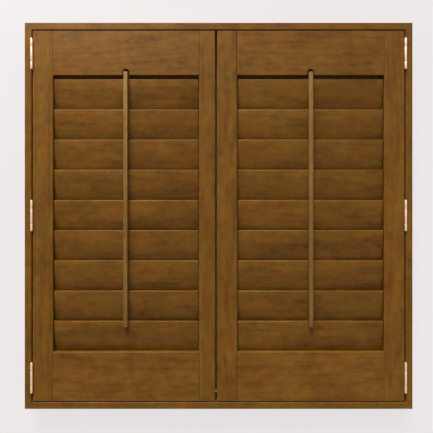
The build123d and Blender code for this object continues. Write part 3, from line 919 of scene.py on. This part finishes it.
def catch_steel_mesh(sizes, low, high, screw):
    """A catch's two pole plates, and the two screws that come up through it from below."""
    half_length = sizes.pole_length / 2
    half_thickness = sizes.pole_thickness / 2
    front = low.y - sizes.pole_proud
    middle = (low + high) / 2
    bm = bmesh.new()
    for step in (-1, 1):
        z = middle.z + step * sizes.pole_spacing / 2
        near = (middle.x - half_length, front, z - half_thickness)
        far = (middle.x + half_length, middle.y, z + half_thickness)
        round_edges(bm, edges_of(block(bm, near, far)), sizes.strike_ease, segments=2)
    facing_down = Matrix.Rotation(pi, 4, "X")
    for end in (-1, 1):
        place = Vector((middle.x + end * half_length, middle.y, low.z))
        stamp(bm, screw, Matrix.Translation(place) @ facing_down)
    return finished_mesh(bm, "catch_steel")


def strike_mesh(sizes, low, high, screw):
    """A strike plate with rounded corners and its two screws."""
    bm = bmesh.new()
    round_edges(bm, edges_of(block(bm, low, high), axis=1), sizes.strike_corner, segments=5)
    back = [face for face in faces_across(bm, axis=1) if face.normal.y > 0]
    round_edges(bm, rims_of(back), sizes.strike_ease, segments=2)
    middle = (low + high) / 2
    facing_wall = Matrix.Rotation(-pi / 2, 4, "X")
    for end in (-1, 1):
        place = Vector((middle.x + end * sizes.strike_screws, high.y, middle.z))
        stamp(bm, screw, Matrix.Translation(place) @ facing_wall)
    return finished_mesh(bm, "strike_plate")


class SHUTTER_OT_catches(bpy.types.Operator):
    """Build the magnet catches and the strike plates that they hold"""

    bl_idname = "shutter.catches"
    bl_label = "Catches"

    def execute(self, context):
        sizes = context.scene.shutter_sizes
        steel = plain_steel()
        screw = screw_mesh(sizes)
        node = "magnet_catches"
        low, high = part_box(node)
        bodies = bmesh.new()
        poles = bmesh.new()
        for left in (low.x, high.x - sizes.catch_length):
            near = Vector((left, low.y, low.z))
            far = Vector((left + sizes.catch_length, high.y, high.z))
            stamp(bodies, catch_body_mesh(sizes, near, far))
            stamp(poles, catch_steel_mesh(sizes, near, far, screw))
        bodies = finished_mesh(bodies, node)
        poles = finished_mesh(poles, "poles")
        add_piece(f"{node}_moulded", bodies, "frame", "catch_plastic", brown_moulding(), node)
        add_piece(f"{node}_poles", poles, "frame", "staple_steel", steel)
        for side in SIDES:
            node = f"{side}_strike_plate"
            mesh = strike_mesh(sizes, *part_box(node), screw)
            add_piece(f"{node}_screwed", mesh, f"{side}_panel", "staple_steel", steel, node)
        return {"FINISHED"}


# Stage
def stage_paper(name, paper, bounce, glow):
    """Plain paper, clear from behind and to lamps, that bounces and glows by shares of its colour."""
    material, tree, shader = new_material(name)
    shader.inputs["Base Color"].default_value = four(Vector(paper) * bounce)
    shader.inputs["Roughness"].default_value = 0.9
    shader.inputs["Specular IOR Level"].default_value = 0.1
    rays = add_node(tree, "LightPath").outputs
    behind = add_node(tree, "NewGeometry").outputs["Backfacing"]
    clear = maths(tree, "MAXIMUM", behind, rays["Is Shadow Ray"])
    glass = add_node(tree, "BsdfTransparent").outputs[0]
    unlit = add_node(tree, "Emission", {"Color": four(paper)}).outputs[0]
    seen = maths(tree, "ADD", rays["Is Camera Ray"], rays["Is Glossy Ray"])
    seen = maths(tree, "MULTIPLY", maths(tree, "ADD", seen, rays["Is Transmission Ray"]), glow)
    lit = add_node(tree, "MixShader", {0: seen, 1: shader.outputs[0], 2: unlit}).outputs[0]
    mixed = add_node(tree, "MixShader", {0: clear, 1: lit, 2: glass})
    tree.links.new(mixed.outputs[0], tree.nodes["Material Output"].inputs["Surface"])
    return material


def stage_sheet(name, matrix, half_width, half_height, paper):
    """A flat sheet of the stage, facing its own +Z."""
    bm = bmesh.new()
    sheet = bmesh.ops.create_grid(bm, x_segments=1, y_segments=1, size=1)["verts"]
    bmesh.ops.scale(bm, vec=(half_width, half_height, 1), verts=sheet)
    bm.transform(matrix)
    mesh = bpy.data.meshes.new(name)
    bm.to_mesh(mesh)
    bm.free()
    mesh.materials.append(paper)
    piece = bpy.data.objects.new(name, mesh)
    bpy.context.scene.collection.objects.link(piece)


def add_sheets(stage):
    """The wall, a plain blind in front of it that the frame covers, and the floor. The blind is darker than
    the wall: painted shade that keeps the gaps through the closed panels dark.
    """
    low, high = (Vector(corner) for corner in cad_bounds)
    half_width = stage.wall_width / 2
    half_height = stage.wall_height / 2
    floor_height = low.z - stage.floor_drop
    wall_y = high.y + stage.wall_gap
    facing_room = Matrix.Rotation(pi / 2, 4, "X")
    wall_place = Matrix.Translation((0, wall_y, floor_height + half_height)) @ facing_room
    blind_place = Matrix.Translation((0, wall_y - stage.blind_gap, 0)) @ facing_room
    floor_place = Matrix.Translation((0, 0, floor_height))
    wall = stage_paper("stage_wall", stage.paper, bounce=1.0, glow=0.86)
    floor = stage_paper("stage_floor", stage.paper, bounce=0.3, glow=0.8)
    # The blind's darker colour is painted shade in the gaps between the panels; it is lit only by real
    # light.
    blind = stage_paper("stage_blind", stage.blind, bounce=1.0, glow=0.0)
    stage_sheet("stage_wall", wall_place, half_width, half_height, wall)
    stage_sheet("stage_blind", blind_place, high.x - stage.blind_inset, high.z - stage.blind_inset, blind)
    stage_sheet("stage_floor", floor_place, half_width, half_width, floor)


def add_light(name, kind, strength, tint, direction):
    """A light that shines along a direction. Returns its lamp and the object that holds it."""
    lamp = bpy.data.lights.new(name, kind)
    lamp.energy = strength
    lamp.color = tint
    holder = bpy.data.objects.new(name, lamp)
    bpy.context.scene.collection.objects.link(holder)
    holder.rotation_euler = Vector(direction).to_track_quat("-Z", "Y").to_euler()
    return lamp, holder


def add_lamp(name, place, target, size, watts, tint):
    """A square soft light that faces a point."""
    lamp, holder = add_light(name, "AREA", watts, tint, Vector(target) - Vector(place))
    lamp.size = size
    holder.location = place


def add_sun(name, direction, softness, strength, tint):
    """An even soft light from far away."""
    lamp, _ = add_light(name, "SUN", strength, tint, direction)
    lamp.angle = softness


def room_light(scene):
    """Light from all sides, mostly from above, a white background and a pale room for gloss to reflect."""
    fill_heights = (-0.3, 0.8)
    fill_strengths = (0.06, 0.4)
    gloss_heights = (-0.3, 0.6)
    gloss_strengths = (0.75, 1.0)
    background_strength = 0.9
    world = bpy.data.worlds.new("room")
    scene.world = world
    world.use_nodes = True
    tree = world.node_tree
    rays = add_node(tree, "LightPath").outputs
    way = add_node(tree, "TexCoord").outputs["Generated"]
    height = add_node(tree, "SeparateXYZ", {"Vector": way}).outputs["Z"]
    fill = remap(tree, height, fill_heights, fill_strengths)
    gloss = remap(tree, height, gloss_heights, gloss_strengths)
    reflected = maths(tree, "MULTIPLY", rays["Is Glossy Ray"], gloss)
    seen = maths(tree, "MAXIMUM", rays["Is Camera Ray"], rays["Is Transmission Ray"])
    seen = maths(tree, "MULTIPLY_ADD", seen, background_strength, reflected)
    background = tree.nodes["Background"].inputs
    tree.links.new(maths(tree, "MAXIMUM", fill, seen), background["Strength"])
    background["Color"].default_value = four(scene.shutter_stage.room_tint)


def add_camera(scene):
    """A camera square to the panels that frames the object as the photograph does."""
    stage = scene.shutter_stage
    camera = bpy.data.cameras.new("camera")
    holder = bpy.data.objects.new("camera", camera)
    scene.collection.objects.link(holder)
    scene.camera = holder
    camera.lens = camera.sensor_width * stage.camera_distance / (PHOTO_SIZE * stage.pixel)
    offset_x = (PHOTO_SIZE / 2 - PHOTO_CENTRE_X) * stage.pixel
    offset_z = (PHOTO_CENTRE_Y - PHOTO_SIZE / 2) * stage.pixel
    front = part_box("left_hinge_stile")[0].y
    holder.location = (offset_x, front - stage.camera_distance, offset_z)
    holder.rotation_euler = (pi / 2, 0, 0)


class SHUTTER_OT_stage(bpy.types.Operator):
    """Set up the wall, blind, floor, lights and camera"""

    bl_idname = "shutter.stage"
    bl_label = "Stage"

    def execute(self, context):
        scene = context.scene
        stage = scene.shutter_stage
        scene.view_settings.view_transform = "Standard"
        add_sheets(stage)
        key = (stage.key_place, stage.key_aim, stage.key_size, stage.key_power, stage.key_tint)
        ceiling = (stage.ceiling_direction, stage.ceiling_softness, stage.ceiling_strength)
        rear = (stage.rear_place, stage.rear_aim, stage.rear_size, stage.rear_power, stage.rear_tint)
        add_lamp("key", *key)
        add_sun("ceiling", *ceiling, stage.ceiling_tint)
        add_lamp("rear", *rear)
        room_light(scene)
        add_camera(scene)
        return {"FINISHED"}


OPERATORS = (
    SHUTTER_OT_boards,
    SHUTTER_OT_corner_keys,
    SHUTTER_OT_louvers,
    SHUTTER_OT_tilt_rods,
    SHUTTER_OT_staples,
    SHUTTER_OT_hinges,
    SHUTTER_OT_catches,
    SHUTTER_OT_stage,
)


class SHUTTER_PT_pieces(bpy.types.Panel):
    """Lists the shutter's operators, sizes and colours, and its stage"""

    bl_label = "Louvred Shutter"
    bl_idname = "SHUTTER_PT_pieces"
    bl_space_type = "VIEW_3D"
    bl_region_type = "UI"
    bl_category = "Shutter"

    def draw(self, context):
        scene = context.scene
        for operator in OPERATORS:
            self.layout.operator(operator.bl_idname)
        for group in (scene.shutter_sizes, scene.shutter_colours, scene.shutter_stage):
            box = self.layout.box()
            for name in group.__annotations__:
                box.prop(group, name)


CLASSES = (ShutterSizes, ShutterColours, ShutterStage, *OPERATORS, SHUTTER_PT_pieces)


def register():
    for cls in CLASSES:
        bpy.utils.register_class(cls)
    bpy.types.Scene.shutter_sizes = PointerProperty(type=ShutterSizes)
    bpy.types.Scene.shutter_colours = PointerProperty(type=ShutterColours)
    bpy.types.Scene.shutter_stage = PointerProperty(type=ShutterStage)


def unregister():
    del bpy.types.Scene.shutter_stage
    del bpy.types.Scene.shutter_colours
    del bpy.types.Scene.shutter_sizes
    for cls in reversed(CLASSES):
        bpy.utils.unregister_class(cls)


def main():
    register()
    bpy.ops.shutter.boards()
    bpy.ops.shutter.corner_keys()
    bpy.ops.shutter.louvers()
    bpy.ops.shutter.tilt_rods()
    bpy.ops.shutter.staples()
    bpy.ops.shutter.hinges()
    bpy.ops.shutter.catches()
    bpy.ops.shutter.stage()


if __name__ == "__main__":
    main()
